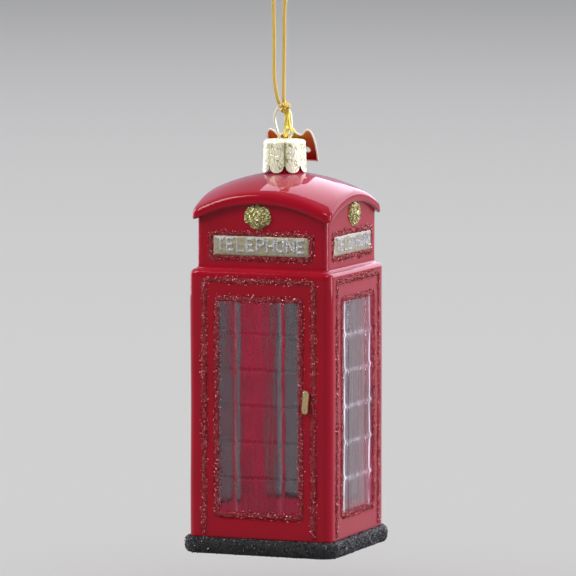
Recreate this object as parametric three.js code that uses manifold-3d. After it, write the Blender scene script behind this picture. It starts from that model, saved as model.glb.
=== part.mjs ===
// A glass tree ornament in the form of a red telephone booth, hanging from its gold cord.
// Millimetres, +Z up, front of the booth towards -Y. The origin is the point where a hook bears
// inside the top of the cord's loop; everything hangs below it.
import * as THREE from "three";
import { mergeVertices } from "three/addons/utils/BufferGeometryUtils.js";
import Module from "manifold-3d";

const wasm = await Module();
wasm.setup();

// ---------------------------------------------------------------- driving dimensions
// Heights are measured from the underside of the base, inside the group that hangs from the origin.
const HANG_HEIGHT = 177; // underside of the base to the hook's bearing point
const AXIS_X = 2.4; // the booth's axis stands this far to the right of the loop's middle

const BODY = { half: 23.6, corner: 3, top: 88.1, shoulder: 1.4 };
const SIGN_BOX = { half: 21.6, corner: 2.2 }; // the narrower storey that carries the signs
const ROOF = { half: 23, corner: 2.6, apex: 117, radius: 50.8, lip: 3.3 };
const NECK = { radius: 5.45, top: 124.5 };
const FOOT = { half: 25, corner: 4.8, bottom: 0.3, top: 5.1, round: 1 };
const COAT = 0.3; // lacquer thickness
const GLASS_INSET = 0.35; // glass surface below the lacquer's surface
const CAVITY_INSET = 1.35; // inner surface of the blown glass
const SEAT = 0.05; // clearance under a piece that sits on a flat face

const BAND = { half: 25.6, corner: 5.2, height: 5.4, round: 1.5, floor: 0.6, lipUnder: 4.8, clearance: 0.05 };
const WINDOW = { half: 13.8, bottom: 12.5, top: 79.2, bars: [-7.4, 7.4], rows: 6 };
const BAR = { width: 0.9, height: 0.5, gap: 0.1, root: 0.3 };
const TRIM = { width: 1.6, height: 0.8, corner: 0.6 };
const OUTLINE = { half: 18, top: 85, bottom: 6.2 };
const SIGN = { half: 15.6, middle: 95.5, height: 5.8, depth: 0.5, corner: 0.5 };
const SIGN_TRIM = { width: 1.5, height: 0.8, clearance: 0.1 };
const EMBLEM = { z: 104.2, wide: 4.6, tall: 3.45, deep: 1.3, nub: 0.85, nubRise: 3.4 };
const EMBLEM_SHIFT = { front: -1.1, right: 1.6, back: 0, left: 0 }; // each was stuck on by hand
const HANDLE = { x: 15.9, z: 48.3, radius: 1.2, stand: 0.6, length: 7.6 };

const CAP = {
  x: -0.7, // off the booth's axis: it sits askew on the neck
  top: 127,
  bottom: 116.9,
  topRadius: 6.6,
  bottomRadius: 6.9,
  wall: 0.3,
  edge: 1.1,
};
const FLUTES = { count: 8, valley: -68.5, depth: 0.12, seam: 0.42, sharpness: 0.35 };
const SCALLOP = { radius: 1.35, stretch: 1.4 };
const WIRE = { radius: 0.43, hole: 1.65, holeRadius: 0.8 };
const RING = { half: 2.68, centre: 133.2, top: 137.3, lean: 0.6 }; // a teardrop that leans left
const CORD = { diameter: 1.2, sides: 8, steps: 64 };
const KNOT = { x: -0.15, y: -0.2, z: 136.75, wide: 2.25, deep: 2.3, tall: 1.85 };
const SWING = 20; // degrees the ring may rock each way inside the knot
const TAG = { half: 7.8, thick: 0.4, lean: 28, x: -1.35, y: 5.15, z: 129.95, length: 11.7 };
const TAG_HOLE = { radius: 1.2, down: 1.7, eye: 0.5 };
const TAG_PUNCH = { across: 4.9, down: 7.45, radius: 0.8 };
const TAG_CORD = { diameter: 0.95, sides: 8, steps: 56 };

// ---------------------------------------------------------------- materials
const paint = (color, roughness, metalness = 0) =>
  new THREE.MeshStandardMaterial({ color, roughness, metalness });
const clearGlass = new THREE.MeshStandardMaterial({
  color: 0xdfe4e6,
  roughness: 0.05,
  metalness: 0,
  transparent: true,
  opacity: 0.35,
});
const redLacquer = paint(0x8c0416, 0.08);
const redGlitter = paint(0x7a0a14, 0.45, 0.4);
const goldGlitter = paint(0xc4b25e, 0.4, 0.7);
const blackGlitter = paint(0x15151a, 0.4, 0.2);
const signPaint = paint(0x9c947a, 0.5, 0.3);
const paleGold = paint(0xd9d6a8, 0.28, 0.9);
const paleWire = paint(0xd2ccb0, 0.25, 0.9);
const goldCord = paint(0xb99a45, 0.45, 0.6);
const yellowCord = paint(0xc9a520, 0.5, 0.3);
const tagCard = paint(0xb04a10, 0.6);

// ---------------------------------------------------------------- solids and meshes
const MERGE_DISTANCE = 1e-4;

function solid(geometry) {
  const bare = geometry.clone();
  for (const name of Object.keys(bare.attributes)) {
    if (name !== "position") bare.deleteAttribute(name);
  }
  const merged = mergeVertices(bare, MERGE_DISTANCE);
  return new wasm.Manifold(
    new wasm.Mesh({
      numProp: 3,
      vertProperties: new Float32Array(merged.attributes.position.array),
      triVerts: new Uint32Array(merged.index.array),
    }),
  );
}

function geometryOf(manifold) {
  const { vertProperties, triVerts } = manifold.getMesh();
  const geometry = new THREE.BufferGeometry();
  geometry.setAttribute("position", new THREE.BufferAttribute(vertProperties, 3));
  geometry.setIndex(new THREE.BufferAttribute(triVerts, 1));
  geometry.computeVertexNormals();
  return geometry;
}

const hanging = new THREE.Group();
hanging.position.set(AXIS_X, 0, -HANG_HEIGHT);

function addPiece(name, manifold, material, parent = hanging) {
  const mesh = new THREE.Mesh(geometryOf(manifold), material);
  mesh.name = name;
  parent.add(mesh);
  return mesh;
}

// ---------------------------------------------------------------- outlines
function roundedRectangle(halfX, halfY, corner, path = new THREE.Shape()) {
  path.moveTo(halfX, -halfY + corner);
  path.lineTo(halfX, halfY - corner);
  path.absarc(halfX - corner, halfY - corner, corner, 0, Math.PI / 2);
  path.lineTo(-halfX + corner, halfY);
  path.absarc(-halfX + corner, halfY - corner, corner, Math.PI / 2, Math.PI);
  path.lineTo(-halfX, -halfY + corner);
  path.absarc(-halfX + corner, -halfY + corner, corner, Math.PI, 1.5 * Math.PI);
  path.lineTo(halfX - corner, -halfY);
  path.absarc(halfX - corner, -halfY + corner, corner, 1.5 * Math.PI, 2 * Math.PI);
  return path;
}

// A square post with rounded corners and, if asked, rounded end edges.
function post(half, corner, bottom, top, round = 0) {
  const geometry = new THREE.ExtrudeGeometry(roundedRectangle(half, half, corner), {
    depth: top - bottom - 2 * round,
    curveSegments: 2,
    bevelEnabled: round > 0,
    bevelThickness: round,
    bevelSize: round,
    bevelOffset: -round,
    bevelSegments: 2,
  });
  return solid(geometry.translate(0, 0, bottom + round));
}

// A ball-ended lens whose top is the roof's sphere; it reaches well below the eaves.
function dome(radius, apex) {
  const halfAngle = Math.PI / 4;
  const rings = 7;
  const profile = [];
  const rim = radius * Math.sin(halfAngle);
  profile.push(new THREE.Vector2(0, 0));
  profile.push(new THREE.Vector2(rim, 0));
  for (let i = rings; i >= 0; i--) {
    const angle = (halfAngle * i) / rings;
    const x = i === 0 ? 0 : radius * Math.sin(angle);
    profile.push(new THREE.Vector2(x, apex - radius * (1 - Math.cos(angle))));
  }
  return solid(new THREE.LatheGeometry(profile, 32).rotateX(Math.PI / 2));
}

function upright(radius, bottom, top, segments = 24) {
  const geometry = new THREE.CylinderGeometry(radius, radius, top - bottom, segments);
  return solid(geometry.rotateX(Math.PI / 2).translate(0, 0, (bottom + top) / 2));
}

// The booth's whole outer form, taken in by inset all round.
function boothForm(inset, neckTop = NECK.top) {
  const foot = post(
    FOOT.half - inset, FOOT.corner, FOOT.bottom + inset, FOOT.top - inset, FOOT.round);
  const body = post(
    BODY.half - inset, BODY.corner, FOOT.bottom + inset + 1, BODY.top - inset, BODY.shoulder);
  const roofTop = dome(ROOF.radius - inset, ROOF.apex - inset);
  const storey = post(SIGN_BOX.half - inset, SIGN_BOX.corner, BODY.top - 6, ROOF.apex);
  const lipUnder = dome(ROOF.radius + inset, ROOF.apex - ROOF.lip + inset);
  const roofPlan = post(ROOF.half - inset, ROOF.corner, BODY.top, ROOF.apex + 1);
  const lip = roofPlan.intersect(roofTop).subtract(lipUnder);
  const neck = upright(NECK.radius - inset, ROOF.apex - 4, neckTop);
  return foot.add(body).add(storey.intersect(roofTop)).add(lip).add(neck);
}

function box(x0, x1, y0, y1, z0, z1) {
  const geometry = new THREE.BoxGeometry(x1 - x0, y1 - y0, z1 - z0);
  return solid(geometry.translate((x0 + x1) / 2, (y0 + y1) / 2, (z0 + z1) / 2));
}

// ---------------------------------------------------------------- the four faces
const FACES = [
  { name: "front", turn: 0 },
  { name: "right", turn: 90 },
  { name: "back", turn: 180 },
  { name: "left", turn: 270 },
];

// A flat outline drawn in (x, height), raised from a face plane towards the viewer.
function raised(shape, planeY, height) {
  const geometry = new THREE.ExtrudeGeometry(shape, {
    depth: height,
    curveSegments: 1,
    bevelEnabled: false,
  });
  return solid(geometry.rotateX(Math.PI / 2).translate(0, -planeY, 0));
}

function frameShape(halfWide, bottom, top, width) {
  const middle = (bottom + top) / 2;
  const halfTall = (top - bottom) / 2;
  const ring = (grow, path) => roundedRectangle(halfWide + grow, halfTall + grow, TRIM.corner, path);
  const outer = ring(width / 2);
  outer.holes.push(ring(-width / 2, new THREE.Path()));
  return { outer, middle };
}

function windowBars() {
  const plane = BODY.half - GLASS_INSET;
  const face = [plane - BAR.root, plane + BAR.height];
  const rowHeight = (WINDOW.top - WINDOW.bottom) / WINDOW.rows;
  const margin = TRIM.width / 2 + BAR.gap;
  const inside = WINDOW.half - margin;
  const low = WINDOW.bottom + margin;
  const high = WINDOW.top - margin;
  let bars = null;
  const keep = (bar) => {
    bars = bars ? bars.add(bar) : bar;
  };
  for (const x of WINDOW.bars) {
    keep(box(x - BAR.width / 2, x + BAR.width / 2, -face[1], -face[0], low, high));
  }
  for (let row = 1; row < WINDOW.rows; row++) {
    const z = WINDOW.bottom + row * rowHeight;
    keep(box(-inside, inside, -face[1], -face[0], z - BAR.width / 2, z + BAR.width / 2));
  }
  return bars;
}

function windowTrim() {
  const { outer, middle } = frameShape(WINDOW.half, WINDOW.bottom, WINDOW.top, TRIM.width);
  return raised(outer, BODY.half + SEAT, TRIM.height).translate([0, 0, middle]);
}

// The door's outline: a bar across the top and a leg down each side, open at the base.
function outlineTrim() {
  const half = OUTLINE.half;
  const w = TRIM.width / 2;
  const shape = new THREE.Shape();
  shape.moveTo(-half - w, OUTLINE.bottom);
  shape.lineTo(-half + w, OUTLINE.bottom);
  shape.lineTo(-half + w, OUTLINE.top - w);
  shape.lineTo(half - w, OUTLINE.top - w);
  shape.lineTo(half - w, OUTLINE.bottom);
  shape.lineTo(half + w, OUTLINE.bottom);
  shape.lineTo(half + w, OUTLINE.top + w);
  shape.lineTo(-half - w, OUTLINE.top + w);
  shape.closePath();
  return raised(shape, BODY.half + SEAT, TRIM.height);
}

function signPanel() {
  const plate = roundedRectangle(SIGN.half, SIGN.height / 2, SIGN.corner);
  return raised(plate, SIGN_BOX.half + SEAT, SIGN.depth).translate([0, 0, SIGN.middle]);
}

function signTrim() {
  const halfTall = SIGN.height / 2 + SIGN_TRIM.clearance + SIGN_TRIM.width / 2;
  const { outer } = frameShape(
    SIGN.half + SIGN_TRIM.clearance + SIGN_TRIM.width / 2,
    -halfTall, halfTall, SIGN_TRIM.width);
  return raised(outer, SIGN_BOX.half + SEAT, SIGN_TRIM.height).translate([0, 0, SIGN.middle]);
}

function ellipsoid(x, y, z, centre, segments = 16) {
  const geometry = new THREE.SphereGeometry(1, segments, Math.round(segments * 0.6));
  return solid(geometry.scale(x, y, z).translate(...centre));
}

// A plump round boss with a small knob on top, flat where it sits on the sign storey.
function emblem(x) {
  const planeY = -(SIGN_BOX.half + SEAT);
  const boss = ellipsoid(EMBLEM.wide, EMBLEM.deep, EMBLEM.tall, [x, planeY, EMBLEM.z]);
  const knob = ellipsoid(
    EMBLEM.nub, EMBLEM.nub, EMBLEM.nub, [x, planeY, EMBLEM.z + EMBLEM.nubRise], 12);
  const behind = box(-10, 10, planeY, planeY + 5, EMBLEM.z - 10, EMBLEM.z + 10);
  return boss.add(knob).subtract(behind);
}

function doorHandle() {
  const planeY = -(BODY.half + SEAT);
  const straight = HANDLE.length - 2 * HANDLE.radius;
  const capsule = new THREE.CapsuleGeometry(HANDLE.radius, straight, 3, 10);
  const bead = solid(capsule.rotateX(Math.PI / 2).translate(HANDLE.x, planeY - HANDLE.stand, HANDLE.z));
  return bead.subtract(box(10, 20, planeY, planeY + 5, 40, 60));
}

// ---------------------------------------------------------------- cap and hanger
// A thin crimped cup: eight bulging panels with a groove between each pair, and a scalloped hem.
function capCup(inset) {
  const height = CAP.top - CAP.bottom;
  const top = height - inset;
  const edge = CAP.edge;
  const profile = [new THREE.Vector2(0, -inset * 3)];
  profile.push(new THREE.Vector2(CAP.bottomRadius - inset, -inset * 3));
  profile.push(new THREE.Vector2(CAP.bottomRadius - inset, 0));
  profile.push(new THREE.Vector2((CAP.bottomRadius + CAP.topRadius) / 2 - inset, height / 2));
  for (let i = 0; i <= 3; i++) {
    const angle = (i / 3) * (Math.PI / 2);
    const x = CAP.topRadius - edge + edge * Math.cos(angle) - inset;
    profile.push(new THREE.Vector2(x, top - edge + edge * Math.sin(angle)));
  }
  profile.push(new THREE.Vector2(0, top + 0.15));
  const geometry = new THREE.LatheGeometry(profile, 64).rotateX(Math.PI / 2);
  const position = geometry.attributes.position;
  const valley = THREE.MathUtils.degToRad(FLUTES.valley);
  for (let i = 0; i < position.count; i++) {
    const x = position.getX(i);
    const y = position.getY(i);
    const radius = Math.hypot(x, y);
    if (radius < CAP.topRadius - edge - inset - 0.01) continue;
    const angle = Math.atan2(y, x) - valley;
    const wave = Math.abs(Math.sin((angle * FLUTES.count) / 2));
    const atSeam = Math.cos(angle) > Math.cos(Math.PI / FLUTES.count);
    const depth = (atSeam ? FLUTES.seam : FLUTES.depth) * (1 - Math.pow(wave, FLUTES.sharpness));
    const share = (radius - depth) / radius;
    position.setXY(i, x * share, y * share);
  }
  return solid(geometry).translate([0, 0, CAP.bottom]);
}

function cap() {
  let cup = capCup(0).subtract(capCup(CAP.wall));
  const reach = CAP.bottomRadius + 2;
  for (let i = 0; i < FLUTES.count; i++) {
    const angle = THREE.MathUtils.degToRad(FLUTES.valley + (i * 360) / FLUTES.count);
    const notch = new THREE.CylinderGeometry(SCALLOP.radius, SCALLOP.radius, reach, 12)
      .rotateZ(Math.PI / 2)
      .translate(reach / 2 + 1.5, 0, 0)
      .scale(1, 1, SCALLOP.stretch)
      .rotateZ(angle)
      .translate(0, 0, CAP.bottom);
    cup = cup.subtract(solid(notch));
  }
  for (const side of [-1, 1]) {
    const hole = upright(WIRE.holeRadius, CAP.top - 2, CAP.top + 2, 16);
    cup = cup.subtract(hole.translate([side * WIRE.hole, 0, 0]));
  }
  return cup.intersect(box(-9, 9, -9, 9, CAP.bottom, CAP.top + 2)).translate([CAP.x, 0, 0]);
}

function sweep(path, radius, steps, sides = 8) {
  const section = new THREE.Shape().absarc(0, 0, radius, 0, 2 * Math.PI);
  return solid(
    new THREE.ExtrudeGeometry(section, { steps, curveSegments: sides / 2, extrudePath: path }));
}

// One length of spring wire: a leg inside the neck, up through the cap, round the ring and back.
function hangerWire() {
  const leg = [
    [2.4, 112.6],
    [2.7, 114.5],
    [2.7, 117],
    [2.3, 121.5],
    [WIRE.hole, CAP.top],
    [2.15, 129],
    [2.6, 131.2],
  ];
  const bend = [0, 30, 60].map((degrees) => {
    const angle = THREE.MathUtils.degToRad(degrees);
    return [RING.half * Math.cos(angle), RING.centre + (RING.top - RING.centre) * Math.sin(angle)];
  });
  const side = [...leg, ...bend];
  const place = (x, z) => {
    const above = THREE.MathUtils.clamp((z - CAP.top) / (RING.centre - CAP.top), 0, 1);
    return new THREE.Vector3(CAP.x + x - RING.lean * above, 0, z);
  };
  const points = side.map(([x, z]) => place(-x, z));
  points.push(place(0, RING.top));
  points.push(...side.reverse().map(([x, z]) => place(x, z)));
  return sweep(new THREE.CatmullRomCurve3(points, false, "centripetal"), WIRE.radius, 72);
}

// ---------------------------------------------------------------- cord
// Up from the knot, round the hook and back down to the knot. Points stand relative to the booth's
// axis and the underside of its base.
const CORD_ROUTE = [
  [-0.8, -0.5, 138.95],
  [-0.9, -0.4, 142],
  [-0.95, -0.2, 147],
  [-0.9, 0, 153],
  [-0.85, 0, 160],
  [-0.8, 0, 166],
  [-0.5, 0, 170.5],
  [-0.05, 0, 173.6],
  [0.05, 0, 175.2],
  [-0.6, 0, 176.8],
  [-2.4, 0, 177.6],
  [-4.2, 0, 176.8],
  [-4.85, 0, 175.2],
  [-4.75, 0, 173.6],
  [-4.5, 0, 170.5],
  [-4.35, 0, 166],
  [-4.25, 0, 160],
  [-4.25, 0, 153],
  [-4.25, 0, 148.3],
  [-3.95, -0.2, 145],
  [-3.3, -0.4, 141.2],
  [-2.45, -0.5, 138.45],
];

function smooth(points) {
  return new THREE.CatmullRomCurve3(
    points.map((p) => new THREE.Vector3(...p)), false, "centripetal");
}

function hangingCord() {
  return sweep(smooth(CORD_ROUTE), CORD.diameter / 2, CORD.steps, CORD.sides);
}

// The knot saddles the top of the ring. A wedge is left free below so that the ring can rock.
function cordKnot() {
  const ball = ellipsoid(KNOT.wide, KNOT.deep, KNOT.tall, [KNOT.x, KNOT.y, KNOT.z], 20);
  const reach = 4;
  const play = WIRE.radius + 0.3;
  const slope = THREE.MathUtils.degToRad(SWING);
  const spread = play / Math.cos(slope) + reach * Math.tan(slope);
  const wedge = new THREE.Shape();
  wedge.moveTo(-spread, -reach);
  wedge.lineTo(spread, -reach);
  wedge.absarc(0, 0, play, -slope, Math.PI + slope);
  wedge.closePath();
  const groove = new THREE.ExtrudeGeometry(wedge, {
    depth: 12,
    curveSegments: 5,
    bevelEnabled: false,
  });
  groove.translate(0, 0, -6).rotateX(Math.PI / 2).rotateZ(Math.PI / 2);
  return ball.subtract(solid(groove.translate(0, 0, RING.top)));
}

// ---------------------------------------------------------------- tag
const tagLean = THREE.MathUtils.degToRad(TAG.lean);

// A card with three lobes along its top edge. It leans on the cap's rear rim and turns about the
// strip between its hole and its top edge, where its cord goes round.
function hangTag() {
  const { half, thick, length } = TAG;
  const card = new THREE.Shape();
  const lobe = half * 0.8;
  const dip = half * 0.48;
  const top = TAG_HOLE.eye;
  card.moveTo(-half + 0.4, -length);
  card.lineTo(half - 0.2, -length);
  card.quadraticCurveTo(half + 1, -length * 0.5, half - 0.3, -1.8);
  card.quadraticCurveTo(half - 0.5, top - 0.6, lobe, top - 0.6);
  card.quadraticCurveTo(lobe - 1.2, top - 0.6, dip, -2.4);
  card.quadraticCurveTo(dip - 1.6, top, 0, top);
  card.quadraticCurveTo(-dip + 1.6, top, -dip, -2.4);
  card.quadraticCurveTo(-lobe + 1.2, top - 0.6, -lobe, top - 0.6);
  card.quadraticCurveTo(-half + 0.5, top - 0.6, -half + 0.3, -1.8);
  card.quadraticCurveTo(-half - 0.3, -length * 0.5, -half + 0.4, -length);
  const round = (x, y, radius) => new THREE.Path().absarc(x, y, radius, 0, 2 * Math.PI, true);
  card.holes.push(round(0, -TAG_HOLE.down, TAG_HOLE.radius));
  card.holes.push(round(TAG_PUNCH.across, -TAG_PUNCH.down, TAG_PUNCH.radius));
  const plate = new THREE.ExtrudeGeometry(card, {
    depth: thick,
    curveSegments: 4,
    bevelEnabled: false,
  });
  plate.translate(0, 0, -thick / 2).rotateX(Math.PI / 2 + tagLean);
  return solid(plate.translate(TAG.x, TAG.y, TAG.z));
}

// From under the knot, back between the wire's legs, round the tag's strip, and forward again outside
// the right leg to the knot, so that the loop holds the tag on the wire.
function tagCord() {
  const r = TAG_HOLE.eye + 0.25 + TAG_CORD.diameter / 2;
  const route = [
    [0.05, -0.95, 134.3],
    [0.05, -1.2, 132.4],
    [0.0, -1.15, 130.2],
    [-0.45, -0.4, 128.35],
    [-1.1, 1.2, 127.95],
    [-1.4, 3.2, 128.1],
  ];
  for (const degrees of [-80, -35, 10, 55, 100, 140]) {
    const angle = THREE.MathUtils.degToRad(degrees);
    route.push([TAG.x, TAG.y + r * Math.cos(angle), TAG.z + r * Math.sin(angle)]);
  }
  route.push(
    [-0.3, 3.3, 130.6],
    [1.3, 1.9, 129.8],
    [2.35, 0.0, 129.5],
    [1.75, -1.25, 130.6],
    [1.15, -1.35, 132.4],
    [1.05, -1.2, 134.3],
  );
  return sweep(smooth(route), TAG_CORD.diameter / 2, TAG_CORD.steps, TAG_CORD.sides);
}

// ---------------------------------------------------------------- assembly
const openings = box(
  -WINDOW.half, WINDOW.half, -30, 30, WINDOW.bottom, WINDOW.top,
).add(box(-30, 30, -WINDOW.half, WINDOW.half, WINDOW.bottom, WINDOW.top));

let shell = boothForm(GLASS_INSET).subtract(boothForm(CAVITY_INSET, NECK.top + 5));
for (const { turn } of FACES) {
  shell = shell.add(windowBars().rotate([0, 0, turn]));
}
addPiece("glass_shell", shell, clearGlass);

const skin = boothForm(0).subtract(boothForm(COAT, NECK.top + 5)).subtract(openings);
const aboveBand = box(-40, 40, -40, 40, BAND.height + SEAT, HANG_HEIGHT);
addPiece("lacquer_coat", skin.intersect(aboveBand), redLacquer);

const footRoom = post(
  FOOT.half - GLASS_INSET + BAND.clearance, FOOT.corner, BAND.floor, BAND.lipUnder,
).add(post(BODY.half + BAND.clearance, BODY.corner, BAND.floor, BAND.height + 2));
const tray = post(BAND.half, BAND.corner, 0, BAND.height, BAND.round).subtract(footRoom);
addPiece("base_band", tray, blackGlitter);

const faceParts = [
  ["outline_trim", outlineTrim(), redGlitter],
  ["window_trim", windowTrim(), redGlitter],
  ["sign_panel", signPanel(), signPaint],
  ["sign_trim", signTrim(), redGlitter],
];
for (const { name, turn } of FACES) {
  for (const [part, piece, material] of faceParts) {
    addPiece(`${name}_${part}`, piece.rotate([0, 0, turn]), material);
  }
  addPiece(`${name}_emblem`, emblem(EMBLEM_SHIFT[name]).rotate([0, 0, turn]), goldGlitter);
}
addPiece("door_handle", doorHandle(), goldGlitter);

addPiece("cap", cap(), paleGold);
addPiece("hanger_wire", hangerWire(), paleWire);
addPiece("hanging_cord", hangingCord(), goldCord);
addPiece("cord_knot", cordKnot(), goldCord);
addPiece("tag_cord", tagCord(), yellowCord);
addPiece("hang_tag", hangTag(), tagCard);

export default hanging;
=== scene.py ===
"""A blown-glass telephone booth ornament hanging from a gold cord, on a plain pale stage.

Shapes are worked out in millimetres from the booth's own axis and the underside of its base,
then placed in the row frame in metres.
"""
from math import cos, pi, radians, sin, sqrt

import bmesh
import bpy
import numpy as np
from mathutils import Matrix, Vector, noise


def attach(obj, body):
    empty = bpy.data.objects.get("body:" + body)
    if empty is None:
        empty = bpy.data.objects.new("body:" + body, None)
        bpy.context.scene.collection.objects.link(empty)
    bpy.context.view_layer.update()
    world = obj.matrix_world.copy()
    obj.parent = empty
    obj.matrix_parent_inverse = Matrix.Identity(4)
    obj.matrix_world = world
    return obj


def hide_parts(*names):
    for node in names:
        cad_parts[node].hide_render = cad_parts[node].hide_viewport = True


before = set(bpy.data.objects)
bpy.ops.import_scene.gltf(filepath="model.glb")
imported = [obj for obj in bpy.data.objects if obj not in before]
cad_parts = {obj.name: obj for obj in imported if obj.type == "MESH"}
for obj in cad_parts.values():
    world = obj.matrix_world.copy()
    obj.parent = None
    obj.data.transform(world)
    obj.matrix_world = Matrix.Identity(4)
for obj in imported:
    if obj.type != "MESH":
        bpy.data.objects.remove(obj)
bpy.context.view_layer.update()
RANDOM = np.random.default_rng(7)
SCENE = bpy.context.scene

# The booth's axis and the underside of its base, as seen from the top of the cord.
HANG_HEIGHT = 177.0
AXIS_X = 2.4

# What each light falls on.
ORNAMENT = bpy.data.collections.new("ornament")
STAGE = bpy.data.collections.new("stage")

# ---- camera
CAMERA = {"azimuth": 21.5, "elevation": 5.4, "distance": 1.705, "lens": 343.75}
AIM = {"height": 80.8, "right": 0.37}


def place(points):
    """Booth millimetres to row-frame metres."""
    moved = np.asarray(points, float) + (AXIS_X, 0.0, -HANG_HEIGHT)
    return moved * 0.001


def wobble(x, y, z):
    """Smooth noise between -1 and 1."""
    return noise.noise(Vector((x, y, z)))


def towards(azimuth, elevation):
    """A unit vector from the booth: azimuth 0 is straight in front, 90 is its right side."""
    az, el = radians(azimuth), radians(elevation)
    return Vector((sin(az) * cos(el), -cos(az) * cos(el), sin(el)))


def new_object(name, data):
    made = bpy.data.objects.new(name, data)
    SCENE.collection.objects.link(made)
    return made


def make_camera():
    az = radians(CAMERA["azimuth"])
    right = Vector((cos(az), sin(az), 0.0))
    target = Vector(place([(0, 0, AIM["height"])])[0]) + right * AIM["right"] * 0.001
    back = towards(CAMERA["azimuth"], CAMERA["elevation"])
    data = bpy.data.cameras.new("camera")
    data.lens = CAMERA["lens"]
    data.sensor_width = 36.0
    data.clip_start, data.clip_end = 0.05, 100.0
    camera = new_object("camera", data)
    camera.location = target + back * CAMERA["distance"]
    camera.rotation_euler = back.to_track_quat("Z", "Y").to_euler()
    SCENE.camera = camera


make_camera()


# ---- material helpers
def new_material(name):
    material = bpy.data.materials.new(name)
    material.use_nodes = True
    return material, material.node_tree.nodes["Principled BSDF"]


def feed(node, **inputs):
    """Sets a node's inputs, by name with underscores: a socket is linked, a constant is set on it."""
    for key, value in inputs.items():
        socket = node.inputs[key.replace("_", " ")]
        if isinstance(value, bpy.types.NodeSocket):
            node.id_data.links.new(value, socket)
        else:
            socket.default_value = value


def add(beside, kind, **inputs):
    """A new node in the same tree as another node or socket."""
    made = beside.id_data.nodes.new("ShaderNode" + kind)
    feed(made, **inputs)
    return made


def attribute(shader, name):
    made = add(shader, "Attribute")
    made.attribute_name = name
    return made.outputs["Fac"]


def noise_of(shader, scale, detail=3.0, roughness=0.5, tall=None):
    """Noise through the piece. A tall below 1 draws it out from top to bottom."""
    vector = add(shader, "TexCoord").outputs["Object"]
    if tall is not None:
        vector = add(shader, "Mapping", Vector=vector, Scale=(1, 1, tall)).outputs["Vector"]
    made = add(shader, "TexNoise", Vector=vector, Scale=scale, Detail=detail, Roughness=roughness)
    return made.outputs["Fac"]


def ramp(source, stops):
    made = add(source, "ValToRGB", Fac=source)
    elements = made.color_ramp.elements
    while len(elements) < len(stops):
        elements.new(0.5)
    for element, (at, colour) in zip(elements, stops):
        element.position = at
        element.color = (*colour, 1.0)
    return made.outputs["Color"]


def span(source, low, high):
    return add(source, "MapRange", Value=source, To_Min=low, To_Max=high).outputs["Result"]


def multiply_add(source, gain, plus):
    made = add(source, "Math")
    made.operation = "MULTIPLY_ADD"
    made.inputs[1].default_value = gain
    for at, value in ((0, source), (2, plus)):
        made.id_data.links.new(value, made.inputs[at])
    return made.outputs[0]


def bump(shader, source, distance, strength=1.0, chain=None):
    made = add(shader, "Bump", Strength=strength, Distance=distance, Height=source)
    if chain is not None:
        feed(made, Normal=chain)
    feed(shader, Normal=made.outputs["Normal"])
    return made.outputs["Normal"]


# ---- materials
def lacquer():
    """Deep red gloss over the slow waviness of blown glass, with a pale sheen at grazing angles."""
    material, shader = new_material("red_lacquer")
    patches = noise_of(shader, 60.0, 4.0)
    colour = ramp(patches, [
        (0.3, (0.25, 0.0, 0.008)), (0.55, (0.285, 0.0, 0.010)), (0.75, (0.26, 0.0, 0.013))])
    feed(shader, Base_Color=colour, Roughness=span(noise_of(shader, 240.0), 0.45, 0.6),
         Specular_IOR_Level=0.02, Coat_Weight=1.0, Coat_Roughness=0.03, Coat_IOR=1.26,
         Sheen_Weight=0.30, Sheen_Roughness=0.35, Sheen_Tint=(0.85, 0.75, 1.0, 1.0))
    slow = bump(shader, noise_of(shader, 55.0, 1.0), 0.0006, 0.35)
    bump(shader, noise_of(shader, 420.0, 2.0, tall=0.35), 0.00012, 0.12, slow)
    return material


def lacquer_inside_painted_glow():
    """The back of the lacquer seen through the glass: crimson, streaked from top to bottom, and painted
    with a glow: it emits its own colour at strength 1, standing in for light thrown back inside the glass.
    """
    material, shader = new_material("lacquer_inside_painted_glow")
    streaks = noise_of(shader, 300.0, 5.0, 0.7, 0.10)
    colour = ramp(streaks, [
        (0.36, (0.05, 0.0, 0.006)), (0.46, (0.34, 0.0, 0.035)), (0.56, (0.60, 0.0, 0.07)),
        (0.68, (0.50, 0.02, 0.09))])
    # The emission is a painted glow: the inside of the lacquer is no lamp.
    feed(shader, Base_Color=colour, Emission_Color=colour, Emission_Strength=1.0,
         Roughness=span(streaks, 0.1, 0.35))
    bump(shader, streaks, 0.0007, 0.5)
    return material


def clear_glass():
    """Grey-tinted glass, whiter and less clear where the panes are painted with highlights standing in for
    light caught on their moulded ridges, and with a painted pale reflection on the side panes.
    """
    material, shader = new_material("clear_glass")
    # This attribute carries painted highlights and a painted pale reflection: it whitens the glass and
    # stops light passing through it.
    painted_glint = attribute(shader, "painted_glint")
    feed(shader, Base_Color=ramp(painted_glint, [(0.0, (0.37, 0.34, 0.36)), (0.4, (0.82, 0.82, 0.90))]),
         Transmission_Weight=span(painted_glint, 1.0, 0.0), IOR=1.39)
    haze = noise_of(shader, 500.0, 5.0, 0.7, 0.2)
    feed(shader, Roughness=span(haze, 0.0, 0.10))
    bump(shader, haze, 0.0004, 0.4)
    return material


def glitter_bed(name, colour, roughness=0.45, shade=0.35):
    """Glue thick with grains too small to see one by one."""
    material, shader = new_material(name)
    coords = add(shader, "TexCoord").outputs["Object"]
    grains = add(shader, "TexVoronoi", Scale=4200.0, Vector=coords).outputs["Distance"]
    dark = tuple(c * shade for c in colour)
    feed(shader, Base_Color=ramp(grains, [(0.1, colour), (0.6, dark)]), Roughness=roughness,
         Metallic=0.15)
    bump(shader, grains, 0.0003, 0.9)
    return material


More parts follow.
